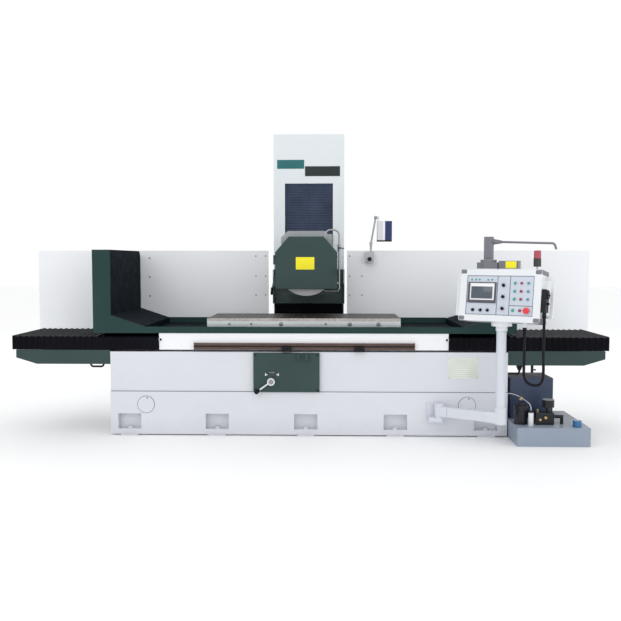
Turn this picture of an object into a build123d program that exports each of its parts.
from build123d import *
import math
import os

os.makedirs("parts", exist_ok=True)

# ---------------------------------------------------------------- driving sizes (mm)
# Origin: middle of the bed's footprint on the floor. +X right, +Y back, +Z up.
BED_HALF = 1620.0            # half length of the bed
BED_BACK = 500.0             # rear face of the front bed
BED_FRONT = -500.0           # lower front face
BED_FACE = -490.0            # upper front face, behind the plinth step
BED_TOP = 690.0
STEP_Z = 362.0               # height of the plinth step
FOOT_T = 10.0                # levelling pad thickness
LEG_X0, LEG_X1 = -435.0, 365.0   # rear leg of the T-shaped bed
LEG_Y1, LEG_TOP = 2150.0, 640.0
XC = -35.0                   # centre line of the column and the table
POCKETS = (-1465.0, -743.0, -16.0, 714.0, 1447.0)

TABLE_X0, TABLE_X1 = -1218.0, 1142.0
TABLE_Y0, TABLE_Y1 = -480.0, 240.0
TABLE_Z0, TABLE_Z1 = 706.0, 842.0
CHUCK_X0, CHUCK_X1 = -838.0, 762.0
CHUCK_Y0, CHUCK_Y1 = -385.0, 215.0
CHUCK_Z0, CHUCK_Z1 = 848.0, 957.0
TRAY_X0, TRAY_X1 = -1760.0, 1690.0
TRAY_Y0, TRAY_Y1 = -485.0, 530.0
VWAY_Y, FLAT_Y = -330.0, 100.0   # the two table ways

COL_X0, COL_X1 = -388.0, 318.0
COL_Y0, COL_Y1 = 1040.0, 1740.0
COL_Z0, COL_Z1 = 668.0, 2205.0
HOOD_Z1 = 2693.0
SLOT_HALF = 240.0            # half width of the column's front slot

XG, ZW = -30.0, 1374.0       # wheel axis
WHEEL_R, WHEEL_Y0, WHEEL_Y1 = 250.0, 60.0, 135.0
SHAFT_R, FIT = 45.0, 0.08
HEAD_Y0, HEAD_Y1 = 200.0, 1000.0
HEAD_TOP = 1699.0

PIVOT = (1061.0, -560.0)     # pendant arm pivot
POST = (1492.0, -820.0)      # pendant post axis
PSI, TILT = math.radians(32.0), math.radians(8.0)
PC = (1497.0, -828.0, 1160.0)    # centre of the pendant box
PW, PH, PD = 630.0, 395.0, 170.0


# ---------------------------------------------------------------- helpers
def box(x0, x1, y0, y1, z0, z1, mode=Mode.ADD):
    with BuildSketch(Plane.XY.offset(z0)) as s:
        with Locations(((x0 + x1) / 2, (y0 + y1) / 2)):
            Rectangle(x1 - x0, y1 - y0)
    extrude(s.sketch, amount=z1 - z0, mode=mode)


def cyl(p, r, h, d=(0, 0, 1), mode=Mode.ADD):
    with BuildSketch(Plane(origin=p, z_dir=d)) as s:
        Circle(r)
    extrude(s.sketch, amount=h, mode=mode)


def cone(p, r0, r1, h, d=(0, 0, 1), mode=Mode.ADD):
    with BuildSketch(Plane(origin=p, z_dir=d)) as a:
        Circle(r0)
    q = Vector(*p) + Vector(*d).normalized() * h
    with BuildSketch(Plane(origin=q, z_dir=d)) as b:
        Circle(r1)
    loft([a.sketch.face(), b.sketch.face()], mode=mode)


def poly(plane, pts, amount, mode=Mode.ADD):
    with BuildSketch(plane) as s:
        with BuildLine():
            Polyline(*pts, close=True)
        make_face()
    extrude(s.sketch, amount=amount, mode=mode)


def slab(plane, x0, x1, y0, y1, z0, z1, mode=Mode.ADD, r=0.0):
    with BuildSketch(plane.offset(z0)) as s:
        with Locations(((x0 + x1) / 2, (y0 + y1) / 2)):
            if r:
                RectangleRounded(x1 - x0, y1 - y0, r)
            else:
                Rectangle(x1 - x0, y1 - y0)
    extrude(s.sketch, amount=z1 - z0, mode=mode)


def pipe(pts, r, bend, mode=Mode.ADD):
    with BuildLine() as l:
        FilletPolyline(*pts, radius=bend)
    with BuildSketch(Plane(origin=l.line @ 0, z_dir=l.line % 0)) as s:
        Circle(r)
    sweep(s.sketch, path=l.line, mode=mode)


def rod(a, b, r, mode=Mode.ADD):
    v = Vector(*b) - Vector(*a)
    cyl(a, r, v.length, (v.X, v.Y, v.Z), mode)


def save(part, name):
    part.label = name
    export_step(part, "parts/" + name + ".step")


# XZ profiles are drawn on this plane and extruded towards +Y
def xz(y):
    return Plane(origin=(0, y, 0), x_dir=(1, 0, 0), z_dir=(0, -1, 0))


# YZ profiles, extruded towards +X
def yz(x):
    return Plane(origin=(x, 0, 0), x_dir=(0, 1, 0), z_dir=(1, 0, 0))


# ---------------------------------------------------------------- bed
with BuildPart() as bed:
    box(-BED_HALF, BED_HALF, BED_FACE, BED_BACK, FOOT_T, BED_TOP)
    box(-BED_HALF, BED_HALF, BED_FRONT, BED_FACE, FOOT_T, STEP_Z)
    # the leg is a second casting, bolted on behind a 0.2 mm joint
    box(LEG_X0, LEG_X1, BED_BACK + 0.2, LEG_Y1, FOOT_T, LEG_TOP)
    # cored cells, open below, between the casting's ribs
    for i in range(7):
        x = -1560 + i * (411.43 + 40)
        for y0, y1 in ((-380, -20), (20, 380)):
            box(x, x + 411.43, y0, y1, FOOT_T, 560 if y0 < 0 else 640, mode=Mode.SUBTRACT)
    for x0, x1 in ((-395, -55), (-15, 325)):
        for k in range(4):
            y = 540 + k * 397
            box(x0, x1, y, y + 357, FOOT_T, 570, mode=Mode.SUBTRACT)
    # trough for the table cylinder, right along the top
    box(-BED_HALF, BED_HALF, -150, -10, 570, BED_TOP, mode=Mode.SUBTRACT)
    # cylinder saddles in the trough
    for x in (-1450, 60):
        box(x, x + 60, -150, -10, 570, 577)
    # pockets of the levelling screws, front and back
    for x in POCKETS:
        box(x - 95, x + 95, BED_FRONT, -440, 54, 181, mode=Mode.SUBTRACT)
        box(x - 95, x + 95, 440, BED_BACK, 54, 181, mode=Mode.SUBTRACT) if abs(x + 35) > 450 else None
        cyl((x, -470, 0), 17.5, 60, mode=Mode.SUBTRACT)
        if abs(x + 35) > 450:
            cyl((x, 470, 0), 17.5, 60, mode=Mode.SUBTRACT)
    # table ways: V-way in front, flat way behind
    poly(yz(-BED_HALF), [(VWAY_Y - 40, BED_TOP - 2), (VWAY_Y, BED_TOP + 38), (VWAY_Y + 40, BED_TOP - 2)], 2 * BED_HALF)
    box(-BED_HALF, BED_HALF, FLAT_Y - 50, FLAT_Y + 50, BED_TOP - 2, 712)
    # column rails on the rear leg
    for x in (-335, 265):
        box(x - 25, x + 25, 560, LEG_Y1 - 20, LEG_TOP - 2, 664)
    # round access covers
    cyl((-1328, BED_FRONT + 1, 256), 68, 5, (0, -1, 0))
    cyl((1294, BED_FRONT + 1, 258), 68, 5, (0, -1, 0))
    # foundation bolt holes in the rear leg's heel
    box(LEG_X0, LEG_X0 + 45, LEG_Y1 - 160, LEG_Y1, 40, 140, mode=Mode.SUBTRACT)
    box(LEG_X1 - 45, LEG_X1, LEG_Y1 - 160, LEG_Y1, 40, 140, mode=Mode.SUBTRACT)
    for x in (LEG_X0 + 22, LEG_X1 - 22):
        cyl((x, LEG_Y1 - 80, 0), 14, 60, mode=Mode.SUBTRACT)
save(bed.part, "bed_casting")

with BuildPart() as feet:
    for x in POCKETS:
        for y in (-470, 470):
            if y > 0 and abs(x + 35) < 450:
                continue
            box(x - 70, x + 70, y - 50, y + 50, 0, FOOT_T)
            cyl((x, y, FOOT_T - 2), 16, 64)
            with BuildSketch(Plane.XY.offset(54)) as hx:
                with Locations((x, y)):
                    RegularPolygon(26, 6)
            extrude(hx.sketch, amount=12)
    # plain pad under the bed's middle rib, at the frame's origin
    box(-60, 60, -60, 60, 0, FOOT_T)
    # plain pads under the rear leg
    for x in (LEG_X0 + 60, LEG_X1 - 60):
        for y in (900, 2050):
            box(x - 55, x + 55, y - 70, y + 70, 0, FOOT_T)
save(feet.part, "leveling_feet")

with BuildPart() as brackets:
    for s in (-1, 1):
        xo, xs, xi = 2404.0, 2233.0, 1621.0
        pts = [(s * xo, 637), (s * xo, 702), (s * xi, 702), (s * xi, 585), (s * xs, 585)]
        poly(xz(TABLE_Y1), pts, TABLE_Y1 - TABLE_Y0)
        for a, b in ((1633, 1995), (2007, 2225)):
            for c, d in ((-468, -126), (-114, 228)):
                box(min(s * a, s * b), max(s * a, s * b), c, d, 580, 690, mode=Mode.SUBTRACT)
    # way for the piston rod and its bracket at the table's right-hand end of travel
    box(1600, 1992, -134, -26, 570, 710, mode=Mode.SUBTRACT)
save(brackets.part, "way_brackets")

# ---------------------------------------------------------------- rear guards
GUARD_Y0, GUARD_Y1, GUARD_Z0, GUARD_Z1 = 600.0, 640.0, 700.0, 1528.0


def guard(x0, x1, feet_x):
    box(x0, x1, GUARD_Y0, GUARD_Y1, GUARD_Z0, GUARD_Z1)
    n = 6
    w = (x1 - x0 - 10 - (n - 1) * 6) / n
    for i in range(n):
        a = x0 + 5 + i * (w + 6)
        for c, d in ((GUARD_Z0 + 5, 1111), (1117, GUARD_Z1 - 5)):
            box(a, a + w, GUARD_Y0 + 4, GUARD_Y1, c, d, mode=Mode.SUBTRACT)
    for x in feet_x:
        poly(yz(x - 35), [(BED_BACK, 560), (BED_BACK + 12, 560), (GUARD_Y0 + 2, 640), (GUARD_Y1, 660), (GUARD_Y1, GUARD_Z0 + 6),
                          (GUARD_Y0, GUARD_Z0 + 6), (GUARD_Y0, 680), (BED_BACK, 680)], 70)


with BuildPart() as guard_l:
    guard(-2613, XC - 375, (-1500, -1000, -520))
save(guard_l.part, "rear_guard_left")

with BuildPart() as guard_r:
    guard(XC + 375, 2613, (450, 1000, 1500))
    # lamp clamp with its stub post
    box(508, 588, 520, GUARD_Y0 - 0.2, 1420, 1515)
    cyl((562, 545, 1510), 11, 65)
    # ear and hinge pin of the lamp arm
    box(552, 572, 545, 569, 1560, 1574)
    box(552, 572, 561, 569, 1560, 1606)
    cyl((562, 569, 1595), 6, 41, (0, -1, 0))
    cyl((562, 528, 1595), 10, 4, (0, -1, 0))
save(guard_r.part, "rear_guard_right")

# ---------------------------------------------------------------- front of the bed
with BuildPart() as valve_cover:
    box(-442, 96, -525, BED_FACE, 365, 685)
    chamfer(valve_cover.faces().sort_by(Axis.Y)[0].edges(), 6)
    cyl((-295, -470, 456), 9.2, 40, (0, -1, 0), mode=Mode.SUBTRACT)
    cyl((-295, -490, 456), 9.2, 60, (0, -1, 0), mode=Mode.SUBTRACT)
save(valve_cover.part, "valve_cover")

LV = Vector(-118, 0, -84).normalized()
with BuildPart() as lever:
    cyl((-295, -571, 456), 31, 44, (0, 1, 0))
    cyl((-295, -528, 456), 9.1, 34, (0, 1, 0))
    # rod and ball turned in one piece, with a small flat at the ball's tip
    with BuildSketch(Plane(origin=(-295, -552, 456), x_dir=LV, z_dir=(0, -1, 0))) as half:
        with BuildLine():
            n0, n1 = 125.16, 164.45
            Polyline((20, 0), (20, 7), (n0 + 0.84, 7))
            ThreePointArc((n0 + 0.84, 7.0), (144.85, 20.0), (n1, 4.0))
            Polyline((n1, 4.0), (n1, 0), (20, 0))
        make_face()
    revolve(half.sketch, axis=Axis((-295, -552, 456), LV))
save(lever.part, "reversing_lever")

with BuildPart() as switches:
    for x in (-75, -8):
        box(x - 14, x + 14, -550, -526, 640, 678)
        cyl((x, -538, 677), 8, 12)
        box(x - 18, x + 18, -553, -525, 630, 642)
save(switches.part, "limit_switches")

# ---------------------------------------------------------------- table cylinder
CYL_Y, CYL_Z = -80.0, 632.0
with BuildPart() as barrel:
    cyl((-1600, CYL_Y, CYL_Z), 55, 1800, (1, 0, 0))
    cyl((-1580, CYL_Y, CYL_Z), 45, 1750, (1, 0, 0), mode=Mode.SUBTRACT)
    cyl((100, CYL_Y, CYL_Z), 22.08, 200, (1, 0, 0), mode=Mode.SUBTRACT)
save(barrel.part, "table_cylinder")

with BuildPart() as rod_p:
    cyl((-700, CYL_Y, CYL_Z), 22, 1810, (1, 0, 0))
    cyl((-730, CYL_Y, CYL_Z), 44.9, 40, (1, 0, 0))
    box(1090, 1120, CYL_Y - 40, CYL_Y + 40, CYL_Z - 35, TABLE_Z0)
save(rod_p.part, "piston_rod")

# ---------------------------------------------------------------- way bellows
with BuildPart() as bel_l:
    box(-2430, TABLE_X0 - 1, -490, 248, 704, 820)
    box(-2440, TABLE_X0 + 9, -480, 238, 700, 811, mode=Mode.SUBTRACT)
save(bel_l.part, "table_bellows_left")

with BuildPart() as bel_r:
    box(TABLE_X1 + 1, 2430, -490, 248, 704, 820)
    box(TABLE_X1 - 9, 2440, -480, 238, 700, 811, mode=Mode.SUBTRACT)
save(bel_r.part, "table_bellows_right")

with BuildPart() as bel_c:
    box(-400, 330, 548, COL_Y0 - 2, 642, 780)
    box(-390, 320, 540, COL_Y0 + 8, 640, 770, mode=Mode.SUBTRACT)
save(bel_c.part, "cross_bellows")

# ---------------------------------------------------------------- oil tank and pump set
TANK_X0, TANK_X1, TANK_Y0, TANK_Y1, TANK_Z1 = 1628.0, 2188.0, -818.0, -120.0, 146.0
with BuildPart() as tank:
    box(TANK_X0, TANK_X1, TANK_Y0, TANK_Y1, 0, TANK_Z1)
    for a, b in ((TANK_X0 + 6, 1905), (1911, TANK_X1 - 6)):
        for c, d in ((TANK_Y0 + 6, -472), (-466, TANK_Y1 - 6)):
            box(a, b, c, d, -1, TANK_Z1 - 6, mode=Mode.SUBTRACT)
    # motor cabinet behind the pumps
    box(1648, 1992, -470, -140, TANK_Z1 - 2, 480)
    box(1654, 1986, -464, -146, TANK_Z1 + 4, 474, mode=Mode.SUBTRACT)
    box(1700, 1900, -150, -130, 190, 440, mode=Mode.SUBTRACT)
    # filler neck
    cyl((2102, -755, TANK_Z1 - 2), 22, 30)
    cyl((2102, -755, TANK_Z1 - 20), 17, 60, mode=Mode.SUBTRACT)
save(tank.part, "oil_tank")

with BuildPart() as cap:
    cyl((2102, -755, TANK_Z1 + 1), 33, 48)
    cyl((2102, -755, TANK_Z1), 22.6, 30, mode=Mode.SUBTRACT)
    fillet(cap.faces().sort_by(Axis.Z)[-1].edges(), 5)
save(cap.part, "filler_cap")

T = TANK_Z1
with BuildPart() as pump:
    # electric motor, upright
    cyl((1690, -650, T), 52, 150)
    cyl((1690, -650, T + 149), 36, 22)
    box(1738, 1752, -672, -628, T + 60, T + 120)
    # gear pump body and suction filter
    box(1800, 1940, -700, -620, T, T + 96)
    cyl((1903, -660, T + 95), 16, 42)
    cyl((1903, -660, T + 136), 46, 60)
    # return elbow
    rod((1925, -660, T + 60), (2010, -660, T + 60), 13)
    rod((2010, -660, T + 73), (2010, -660, T), 13)
    # dosing bottle of the way lubrication
    cyl((1752, -725, T), 20, 100)
    cyl((1752, -725, T + 99), 9, 20)
save(pump.part, "pump_unit")

with BuildPart() as drains:
    pipe([(-1797, -440, 585), (-1797, -440, 560), (-1690, -440, 560), (-1690, -440, 585)], 8, 22)
    cone((1725, -440, 540), 12, 30, 45)
    pipe([(1725, -440, 545), (1725, -440, 513), (1620.5, -440, 513)], 8, 20)
    cyl((1828, -440, 520), 11, 65)
    rod((1828, -440, 545), (1858, -440, 545), 6)
save(drains.part, "drain_pipes")

# lubrication tube: thin nylon tube from the bed's side to the dosing bottle
LUBE = [(1621.5, -485, 357), (1650, -494, 359), (1688, -542, 352), (1718, -604, 336), (1738, -660, 322), (1748, -700, 311), (1752, -722, 292), (1752, -725, 266)]
LUBE_D = 6.0


def radii(pts):
    r = []
    for a, b, c in zip(pts, pts[1:], pts[2:]):
        u, v = Vector(*b) - Vector(*a), Vector(*c) - Vector(*b)
        t = math.radians(u.get_angle(v))
        r.append(0.45 * min(u.length, v.length) / math.tan(t / 2))
    return r


def tube(pts, d, name):
    rr = radii(pts)
    with BuildLine() as l:
        FilletPolyline(*pts, radius=rr)
    with BuildSketch(Plane(origin=l.line @ 0, z_dir=l.line % 0)) as s:
        Circle(d / 2)
    sweep(s.sketch, path=l.line)
    L = sum(e.length for e in l.line.edges())
    print(name, "length %.1f" % L, "radii/d", [round(x / d, 1) for x in rr])
    return L


with BuildPart() as lube:
    L = tube(LUBE, LUBE_D, "lube_tube")
print("volume ratio", lube.part.volume / (math.pi * LUBE_D ** 2 / 4 * L))
save(lube.part, "lube_tube")

# ---------------------------------------------------------------- table group
with BuildPart() as table:
    box(TABLE_X0, TABLE_X1, TABLE_Y0, TABLE_Y1, TABLE_Z0, TABLE_Z1)
    poly(yz(TABLE_X0 - 1), [(VWAY_Y - 26, TABLE_Z0 - 1), (VWAY_Y, BED_TOP + 38.8), (VWAY_Y + 26, TABLE_Z0 - 1)], 2400, mode=Mode.SUBTRACT)
    box(TABLE_X0 - 1, TABLE_X1 + 1, FLAT_Y - 51, FLAT_Y + 51, TABLE_Z0 - 1, 712.5, mode=Mode.SUBTRACT)
    # lightening cells under the table
    for i in range(5):
        x = TABLE_X0 + 60 + i * 455
        box(x, x + 415, -250, 20, TABLE_Z0 - 1, 790, mode=Mode.SUBTRACT) if i < 4 else box(x, x + 300, -250, -130, TABLE_Z0 - 1, 790, mode=Mode.SUBTRACT)
        box(x, x + 415, 160, 225, TABLE_Z0 - 1, 790, mode=Mode.SUBTRACT)
    # clips that hold the bellows frames
    for x in (TABLE_X0, TABLE_X1):
        box(x - 1 if x < 0 else x - 29, x + 29 if x < 0 else x + 1, TABLE_Y0 - 8, TABLE_Y0, 780, 800)
save(table.part, "table_casting")

with BuildPart() as chuck:
    box(CHUCK_X0, CHUCK_X1, CHUCK_Y0, CHUCK_Y1, CHUCK_Z0, CHUCK_Z1)
    # joint between the two chuck halves
    xm = (CHUCK_X0 + CHUCK_X1) / 2
    box(xm - 1.5, xm + 1.5, CHUCK_Y0, CHUCK_Y1, CHUCK_Z1 - 12, CHUCK_Z1, mode=Mode.SUBTRACT)
    # pole inlays: shallow grooves across the plate
    for k in range(-15, 16):
        x = xm + k * 50
        if abs(k) > 0:
            box(x - 2, x + 2, CHUCK_Y0 + 12, CHUCK_Y1 - 12, CHUCK_Z1 - 1.5, CHUCK_Z1, mode=Mode.SUBTRACT)
    # clamp slots along the front and back
    for y in (CHUCK_Y0, CHUCK_Y1):
        for x in (-735, -555, -340, 265, 480, 660):
            box(x - 24, x + 24, y - 10, y + 10, CHUCK_Z0 + 16, CHUCK_Z0 + 38, mode=Mode.SUBTRACT)
save(chuck.part, "magnetic_chuck")

with BuildPart() as tray:
    y0, y1 = TRAY_Y0, TRAY_Y1
    box(-1345, 1271, y0, y1, 842, 848)
    box(-1345, 1271, y0, y0 + 5, 842, 895)
    box(-1345, 1271, y1 - 5, y1, 842, 900)
    lw = [(TRAY_X0, 842), (TRAY_X0, 1523), (-1615, 1523), (-1615, 989), (-1341, 897), (-1341, 842)]
    poly(xz(y1), lw, y1 - y0)
    # three cells inside the tall box wall, open below
    li = [(TRAY_X0 + 5, 838), (TRAY_X0 + 5, 1518), (-1620, 1518), (-1620, 985.4), (-1346, 893.4), (-1346, 838)]
    for a, b in ((y0 + 5, -152), (-146, 190), (196, y1 - 5)):
        poly(xz(b), li, b - a, mode=Mode.SUBTRACT)
    rw = [(TRAY_X1, 842), (TRAY_X1, 937), (1416, 937), (1267, 894), (1267, 842)]
    poly(xz(y1), rw, y1 - y0)
    ri = [(TRAY_X1 - 5, 838), (TRAY_X1 - 5, 932), (1417, 932), (1272, 890.2), (1272, 838)]
    for a, b in ((y0 + 5, -152), (-146, 190), (196, y1 - 5)):
        poly(xz(b), ri, b - a, mode=Mode.SUBTRACT)
    # rounded upper corner at the back of the tall wall
    fillet(tray.edges().filter_by(Axis.X).filter_by(lambda e: e.center().Z > 1520 and e.center().Y > 500), 60)
save(tray.part, "splash_tray")

with BuildPart() as rail:
    box(-929, 868, -504, TABLE_Y0, 710, 763)
    box(-931, 870, -505, -496, 730, 744, mode=Mode.SUBTRACT)
    for x in (-929, 858):
        box(x, x + 10, -505, -502, 706, 767)
save(rail.part, "trip_rail")

with BuildPart() as dogs:
    for x in (-172, 417):
        box(x - 42, x + 42, -527, -506, 697, 738)
        box(x - 42, x + 42, -527, -484, 697, 709.5)
        cyl((x, -526, 724), 9, 10, (0, -1, 0))
        box(x - 14, x + 14, -545, -526, 700, 716)
save(dogs.part, "trip_dogs")

# ---------------------------------------------------------------- column
with BuildPart() as column:
    box(COL_X0, COL_X1, COL_Y0, COL_Y1, COL_Z0, COL_Z1)
    box(XC - SLOT_HALF, XC + SLOT_HALF, COL_Y0 - 1, 1680, 720, COL_Z1 + 1, mode=Mode.SUBTRACT)
    # top plate under the hood
    box(COL_X0 + 14, COL_X1 - 14, COL_Y0 + 12, COL_Y1 - 12, COL_Z1 - 2, COL_Z1 + 35)
    # screw bearings
    cyl((XC, 1580, 690), 25.08, 80, mode=Mode.SUBTRACT)
    cyl((XC, 1580, COL_Z1 - 10), 25.08, 60, mode=Mode.SUBTRACT)
    # runner blocks over the two rails
    for x in (-335, 265):
        box(x - 25.5, x + 25.5, COL_Y0 - 1, COL_Y1 + 1, COL_Z0 - 1, COL_Z0 + 1, mode=Mode.SUBTRACT)
    # side ribs of the casting
    for z in (900, 1300, 1700):
        box(COL_X0 - 0, COL_X0 + 4, COL_Y0 + 60, COL_Y1 - 60, z, z + 300, mode=Mode.SUBTRACT)
        box(COL_X1 - 4, COL_X1, COL_Y0 + 60, COL_Y1 - 60, z, z + 300, mode=Mode.SUBTRACT)
save(column.part, "column_casting")

with BuildPart() as hood:
    box(COL_X0, COL_X1, COL_Y0, COL_Y1, COL_Z1, HOOD_Z1)
    box(COL_X0 + 6, COL_X1 - 6, COL_Y0 + 6, COL_Y1 - 6, COL_Z1 - 1, COL_Z1 + 60, mode=Mode.SUBTRACT)
    for a, b in ((COL_X0 + 6, XC - 3), (XC + 3, COL_X1 - 6)):
        for c, d in ((COL_Y0 + 6, 1387), (1393, COL_Y1 - 6)):
            box(a, b, c, d, COL_Z1 + 50, HOOD_Z1 - 6, mode=Mode.SUBTRACT)
    fillet(hood.faces().sort_by(Axis.Z)[-1].edges(), 8)
save(hood.part, "column_hood")

with BuildPart() as screw:
    cyl((XC, 1580, 692), 25, 1546)
save(screw.part, "lift_screw")

with BuildPart() as bel_h:
    box(XC - 236, XC + 236, 1052, 1078, HEAD_TOP + 6, COL_Z1 - 2)
    box(XC - 345, XC + 345, 1008, 1036, 786, 1004)
save(bel_h.part, "head_bellows")

# ---------------------------------------------------------------- wheelhead
with BuildPart() as head:
    hw = 225
    poly(xz(HEAD_Y1 + 4), [(XC - hw, 1130), (XC - hw, 1640), (XC - hw + 60, HEAD_TOP), (XC + hw - 60, HEAD_TOP), (XC + hw, 1640), (XC + hw, 1130)],
         HEAD_Y1 + 4 - HEAD_Y0)
    box(XC - 235, XC + 235, HEAD_Y1 + 2, 1100, 1110, HEAD_TOP)
    # apron across the column's front
    box(XC - 357, XC + 357, HEAD_Y1 + 3, 1035, 1007, 1345)
    # side wings that close the apron's sides
    box(XC - 357, XC - 345, HEAD_Y1 - 60, HEAD_Y1 + 4, 1007, 1345)
    box(XC + 345, XC + 357, HEAD_Y1 - 60, HEAD_Y1 + 4, 1007, 1345)
    # nut bracket of the lift screw
    box(XC - 55, XC + 55, 1098, 1640, 1560, 1620)
    cyl((XC, 1580, 1550), 25.08, 80, mode=Mode.SUBTRACT)
    # cored sides
    for s in (-1, 1):
        xa, xb = sorted((XC + s * 90, XC + s * 205))
        box(xa, xb, 260, 940, 1128, 1620, mode=Mode.SUBTRACT)
    box(XC - 60, XC + 60, 260, 940, 1128, 1290, mode=Mode.SUBTRACT)
    # spindle bore
    cyl((XG, 190, ZW), SHAFT_R + FIT, 930, (0, 1, 0), mode=Mode.SUBTRACT)
    cyl((XG, 190, ZW), 70, 40, (0, 1, 0), mode=Mode.SUBTRACT)
save(head.part, "wheelhead_body")

GP = [(XG - 272, 1185), (XG - 272, 1506), (XG - 153, 1644), (XG + 153, 1644), (XG + 272, 1506), (XG + 272, 1185)]
with BuildPart() as wguard:
    poly(xz(HEAD_Y0), GP, HEAD_Y0 - 34)
    cyl((XG, 30, ZW), 263, 158, (0, 1, 0), mode=Mode.SUBTRACT)
    box(XG - 263, XG + 263, 30, 188, 1180, ZW, mode=Mode.SUBTRACT)
    cyl((XG, 180, ZW), 75, 30, (0, 1, 0), mode=Mode.SUBTRACT)
    # fixed hinge knuckles
    for z in (1250, 1441):
        cyl((XG - 281, 27, z), 8, 40)
        box(XG - 284, XG - 270, 34.5, 44, z, z + 40)
        box(XG - 284, XG - 278, 27, 44, z, z + 40)
        cyl((XG - 281, 27, z - 1), 4.1, 42, mode=Mode.SUBTRACT)
save(wguard.part, "wheel_guard")

with BuildPart() as door:
    poly(xz(32), GP, 12)
    chamfer(door.faces().sort_by(Axis.Y)[0].edges(), 4)
    for z in (1250, 1441):
        cyl((XG - 281, 27, z - 41), 8, 40)
        box(XG - 281, XG - 268, 22, 31, z - 41, z - 1)
        cyl((XG - 281, 27, z - 42), 4, 82)
    # latch knob
    cyl((XG + 245, 21, 1350), 14, 26, (0, -1, 0))
save(door.part, "guard_door")

with BuildPart() as motor:
    cyl((XG, 1102, ZW), 150, 340, (0, 1, 0))
    cyl((XG, 1441, ZW), 120, 45, (0, 1, 0))
    cyl((XG, 1100, ZW), SHAFT_R + FIT, 85, (0, 1, 0), mode=Mode.SUBTRACT)
    for k in range(16):
        a = math.radians(k * 22.5)
        with BuildSketch(Plane(origin=(XG + 150 * math.cos(a), 1130, ZW + 150 * math.sin(a)), x_dir=(math.cos(a), 0, math.sin(a)), z_dir=(0, 1, 0))) as fs:
            Rectangle(16, 6)
        extrude(fs.sketch, amount=290)
save(motor.part, "spindle_motor")

with BuildPart() as shaft:
    cyl((XG, 150, ZW), SHAFT_R, 1020, (0, 1, 0))
    cyl((XG, 135.2, ZW), 95, 15, (0, 1, 0))
    cyl((XG, 45, ZW), 62, 92, (0, 1, 0))
    cyl((XG, 44, ZW), 95, 15.8, (0, 1, 0))
    with BuildSketch(Plane(origin=(XG, 38, ZW), z_dir=(0, 1, 0))) as nut:
        RegularPolygon(40, 6)
    extrude(nut.sketch, amount=8)
save(shaft.part, "spindle_shaft")

with BuildPart() as wheel:
    cyl((XG, WHEEL_Y0, ZW), WHEEL_R, WHEEL_Y1 - WHEEL_Y0, (0, 1, 0))
    cyl((XG, WHEEL_Y0 - 1, ZW), 62.3, 80, (0, 1, 0), mode=Mode.SUBTRACT)
save(wheel.part, "grinding_wheel")

PX, PY = 260.0, 97.0
with BuildPart() as coolant:
    pipe([(135, PY, 1644.5), (135, PY, 1704), (PX, PY, 1704), (PX, PY, 1570)], 8, 50)
    cyl((PX, PY, 1515), 15, 62)
    cyl((PX, PY - 12, 1545), 9, 12, (0, -1, 0))
    pipe([(PX, PY, 1518), (PX, PY, 1166), (150, PY, 1166)], 8, 24)
    cone((152, PY, 1166), 10, 6, 26, (-1, 0, 0))
    # clips on the guard's side
    for z in (1230, 1460):
        box(XG + 272.2, PX, PY - 6, PY + 6, z, z + 14)
save(coolant.part, "coolant_line")

with BuildPart() as cvl:
    cyl((PX, PY - 24.5, 1545), 10, 9, (0, -1, 0))
    rod((PX, PY - 29, 1545), (PX + 42, PY - 29, 1541), 5)
save(cvl.part, "coolant_valve_lever")

# ---------------------------------------------------------------- work lamp
with BuildPart() as larm:
    cyl((562, 530, 1595), 16, 30, (0, 1, 0))
    rod((562, 545, 1595), (603, 545, 1828), 8)
    cyl((590, 545, 1838), 14, 26, (1, 0, 0))
    cyl((562, 525, 1595), 6.05, 45, (0, 1, 0), mode=Mode.SUBTRACT)
save(larm.part, "lamp_arm")

with BuildPart() as lhead:
    box(617, 755, 500, 590, 1612, 1802)
    chamfer(lhead.edges().filter_by(Axis.Z), 8)
    box(630, 742, 512, 578, 1605, 1618, mode=Mode.SUBTRACT)
    cyl((617, 545, 1838), 13, 18, (1, 0, 0))
    box(619, 635, 538, 552, 1790, 1838)
save(lhead.part, "lamp_head")

# ---------------------------------------------------------------- pendant arm
with BuildPart() as pbr:
    box(966, 1036, -512, -500, 139, 279)
    cyl((PIVOT[0], PIVOT[1], 139), 36, 40)
    box(976, PIVOT[0], -590, -506, 141, 176)
    cyl((PIVOT[0], PIVOT[1], 170), 15, 70)
save(pbr.part, "pendant_bracket")

AD = Vector(POST[0] - PIVOT[0], POST[1] - PIVOT[1], 0)
AL, AU = AD.length, AD.normalized()
with BuildPart() as parm:
    cyl((PIVOT[0], PIVOT[1], 180), 38, 105)
    ap = Plane(origin=(PIVOT[0], PIVOT[1], 222), x_dir=(-AU.Y, AU.X, 0), z_dir=(AU.X, AU.Y, 0))
    slab(ap, -31, 31, -40, 40, 0, AL, r=12)
    slab(ap, -38, 38, -41.5, 43, 20, 75, r=14)
    slab(ap, -42, 42, -41.5, 46, AL - 110, AL, r=14)
    cyl((POST[0], POST[1], 176), 46, 132)
    cyl((POST[0], POST[1], 300), 37.5, 595)
    cyl((POST[0], POST[1], 890), 20, 42)
    cyl((PIVOT[0], PIVOT[1], 170), 15.08, 71, mode=Mode.SUBTRACT)
save(parm.part, "pendant_arm")

# ---------------------------------------------------------------- pendant box
XL = Vector(math.cos(PSI), -math.sin(PSI), 0)
NN = Vector(-math.sin(PSI) * math.cos(TILT), -math.cos(PSI) * math.cos(TILT), math.sin(TILT))
UU = NN.cross(XL)
PCV = Vector(*PC)
FACE = Plane(origin=PCV + NN * (PD / 2), x_dir=XL, z_dir=NN)


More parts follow.
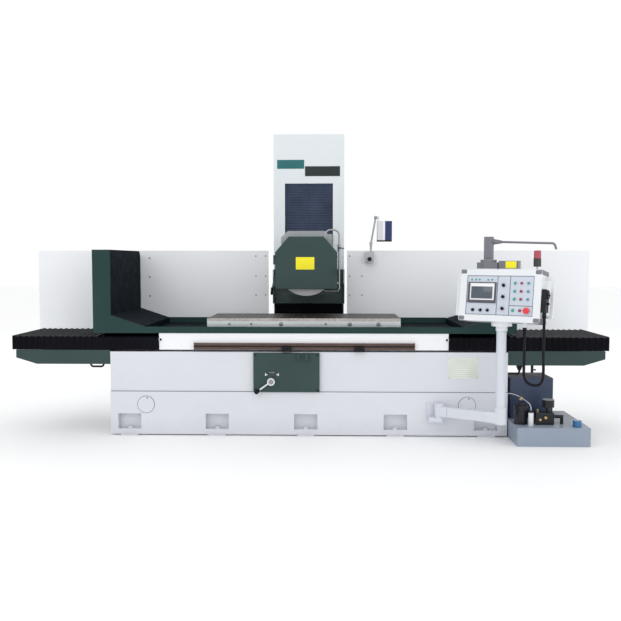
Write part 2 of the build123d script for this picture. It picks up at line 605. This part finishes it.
def W(x, y, z):
    """A point beside the pendant: x along the face, y towards its back, z the height."""
    return (PC[0] + x * math.cos(PSI) + y * math.sin(PSI), PC[1] - x * math.sin(PSI) + y * math.cos(PSI), z)


HW, HH = PW / 2, PH / 2
PX0, PX1, PY0, PY1 = -260, 260, -150, 150     # panel opening
POST2 = W(-125, 20, 0)
LAMP2 = W(255, 10, 0)
GLAND = W(165, 20, 0)
with BuildPart() as pbox:
    # neck and flange, cut to the slope of the floor
    cyl((POST[0], POST[1], 897), 44, 60)
    cyl((POST[0], POST[1], 935), 78, 50)
    cyl(W(-125, 20, 1340), 62, 100)
    with BuildSketch(Plane(origin=W(-125, 20, 1340), x_dir=XL, z_dir=(0, 0, 1))) as db:
        RectangleRounded(170, 96, 30)
    extrude(db.sketch, amount=80)
    with BuildSketch(Plane(origin=W(42, 30, 1340), x_dir=XL, z_dir=(0, 0, 1))) as jb:
        Rectangle(150, 80)
    extrude(jb.sketch, amount=92)
    cyl(W(255, 10, 1340), 9, 48)
    cyl((GLAND[0], GLAND[1], 930), 17, 60)
    slab(FACE, -HW + 4, HW - 4, -HH + 4, HH - 4, -PD + 4, -4, mode=Mode.SUBTRACT)
    slab(FACE, -HW, HW, -HH, HH, -PD, 0, r=14)
    for a, b in ((-HW + 8, -5), (5, HW - 8)):
        slab(FACE, a, b, -HH + 8, HH - 8, -PD + 8, -14, mode=Mode.SUBTRACT)
    slab(FACE, PX0, PX1, PY0, PY1, -16, 1, mode=Mode.SUBTRACT)
    slab(FACE, -5, 5, PY0, PY1, -16, -8.2)
    # handles on both sides
    for s in (-1, 1):
        xa, xb = sorted((s * 357, s * 379))
        slab(FACE, xa, xb, -155, 155, -120, -96, r=6)
        xa, xb = sorted((s * 312, s * 372))
        slab(FACE, xa, xb, -155, -133, -120, -96)
        slab(FACE, xa, xb, 133, 155, -120, -96)
    # bore for the post's pin
    cyl((POST[0], POST[1], 890), 20.08, 50, mode=Mode.SUBTRACT)
save(pbox.part, "pendant_box")

# control centres on the face, in the face's own x and y
SEL = [(-202, -114), (-141, -114), (-85, -114)]
KNOB = [(30, 77), (30, -9), (30, -98)]
PUSH = [(118, 95), (167, 95), (118, 34), (167, 34), (118, -25), (167, -25)]
LAMPS = [(220, 95), (220, 34), (220, -25)]
START, STOP, ESTOP = (111, -110), (164, -110), (216, -110)
with BuildPart() as pface:
    slab(FACE, PX0 + 0.3, PX1 - 0.3, PY0 + 0.3, PY1 - 0.3, -8, -2)
    # raised screen bezel
    slab(FACE, -247, -26, -59, 98, -3, 5, r=5)
    slab(FACE, -232, -38, -38, 92, 2, 6, mode=Mode.SUBTRACT)
    for x, y in LAMPS:
        with BuildSketch(FACE.offset(-3)) as ls:
            with Locations((x, y)):
                Circle(12)
        extrude(ls.sketch, amount=9)
    for x in (-222, -188, -160, -92, -61):
        with BuildSketch(FACE.offset(-3)) as ls:
            with Locations((x, 118)):
                Circle(7)
        extrude(ls.sketch, amount=5)
    for (x, y), r in [(c, 12.5) for c in SEL + KNOB] + [(c, 11.5) for c in PUSH + [START, STOP, ESTOP]]:
        with BuildSketch(FACE.offset(-3)) as ring:
            with Locations((x, y)):
                Circle(r + 4)
        extrude(ring.sketch, amount=3)
        with BuildSketch(FACE.offset(-10)) as hole:
            with Locations((x, y)):
                Circle(r)
        extrude(hole.sketch, amount=20, mode=Mode.SUBTRACT)
save(pface.part, "panel_face")


def knob(c, name, r=11.9, h=16, bar=True):
    with BuildPart() as k:
        with BuildSketch(FACE.offset(-6)) as a:
            with Locations(c):
                Circle(r)
        extrude(a.sketch, amount=6 + h * 0.55)
        with BuildSketch(FACE.offset(h * 0.5)) as b:
            with Locations(c):
                Rectangle(r * 0.62, r * 1.9)
        extrude(b.sketch, amount=h * 0.6)
    save(k.part, name)


def button(c, name, r=10.9, h=9):
    with BuildPart() as k:
        with BuildSketch(FACE.offset(-6)) as a:
            with Locations(c):
                Circle(r)
        extrude(a.sketch, amount=6 + h)
        chamfer(k.faces().sort_by(Axis(FACE.origin, FACE.z_dir))[-1].edges(), 1.2)
    save(k.part, name)


for i, c in enumerate(SEL):
    knob(c, "selector_switch_%d" % (i + 1))
for i, c in enumerate(KNOB):
    knob(c, "speed_knob_%d" % (i + 1), h=20)
NAMES = ["hydraulic_start_button", "hydraulic_stop_button", "wheel_start_button", "wheel_stop_button", "coolant_start_button", "coolant_stop_button"]
for c, n in zip(PUSH, NAMES):
    button(c, n)
button(START, "cycle_start_button")
button(STOP, "cycle_stop_button")
with BuildPart() as es:
    with BuildSketch(FACE.offset(-6)) as a:
        with Locations(ESTOP):
            Circle(10.9)
    extrude(a.sketch, amount=22)
    with BuildSketch(FACE.offset(12)) as b:
        with Locations(ESTOP):
            Circle(23)
    extrude(b.sketch, amount=14)
    fillet(es.faces().sort_by(Axis(FACE.origin, FACE.z_dir))[-1].edges(), 6)
save(es.part, "emergency_stop")

# hand unit with its pulse dial, hung on the right side
with BuildPart() as hand:
    slab(FACE, HW + 1, HW + 37, -115, 55, -78, -8, r=6)
    dp = Plane(origin=FACE.origin + XL * (HW + 36) + UU * 12 + NN * (-43), x_dir=NN, z_dir=XL)
    with BuildSketch(dp) as d1:
        Circle(28)
    extrude(d1.sketch, amount=10)
    with BuildSketch(dp.offset(9)) as d2:
        with Locations((14, 0)):
            Circle(5)
    extrude(d2.sketch, amount=14)
    with BuildSketch(Plane(origin=FACE.origin + XL * (HW + 36) + UU * (-50) + NN * (-43), x_dir=NN, z_dir=XL)) as d3:
        Circle(9)
    extrude(d3.sketch, amount=16)
    HG = FACE.origin + XL * (HW + 19) + UU * (-113) + NN * (-43)
    cyl((HG.X, HG.Y, 1010), 14, HG.Z - 1010 + 2)
save(hand.part, "hand_unit")

CD = 22.0
def bottom(t):
    return GLAND[0] + (HG.X - GLAND[0]) * t, GLAND[1] + (HG.Y - GLAND[1]) * t


SPAN = math.hypot(HG.X - GLAND[0], HG.Y - GLAND[1])
q = 61.5 / math.sqrt(2)
CABLE = []
for t, z in ((0, 929.8), (0, 825), (0.01, 725), (-0.006, 632), (0.0, 548), (q / SPAN, 548 - q), (1 - q / SPAN, 548 - q), (1.0, 548), (1.012, 640), (0.992, 745), (1.0, 870), (1.0, 1009.8)):
    x, y = bottom(t)
    CABLE.append((x, y, z))
with BuildPart() as cable:
    L = tube(CABLE, CD, "pendant_cable")
print("volume ratio", cable.part.volume / (math.pi * CD ** 2 / 4 * L), "span", SPAN)
print("CABLE =", [tuple(round(v, 1) for v in p) for p in CABLE])
save(cable.part, "pendant_cable")

# cable hanger: square post that turns in the dome, with a bent rod
HX, HY = POST2[0], POST2[1]
with BuildPart() as hang:
    with BuildSketch(Plane(origin=(HX, HY, 1441), x_dir=XL, z_dir=(0, 0, 1))) as hp:
        RectangleRounded(64, 50, 6)
    extrude(hp.sketch, amount=175)
    cone((HX + 25, HY, 1578), 24, 11, 75, (1, 0, -0.02))
    pipe([(HX + 60, HY, 1577), (HX + 500, HY, 1566), (HX + 516, HY, 1520)], 8.5, 24)
save(hang.part, "hanger_arm")

with BuildPart() as sig:
    cyl((LAMP2[0], LAMP2[1], 1388.2), 28, 62)
    cyl((LAMP2[0], LAMP2[1], 1449), 26, 60)
    fillet(sig.faces().sort_by(Axis.Z)[-1].edges(), 8)
save(sig.part, "signal_lamp")

print("FACE", FACE.origin, XL, NN, UU)
print("axes", POST2, LAMP2, GLAND, HG)
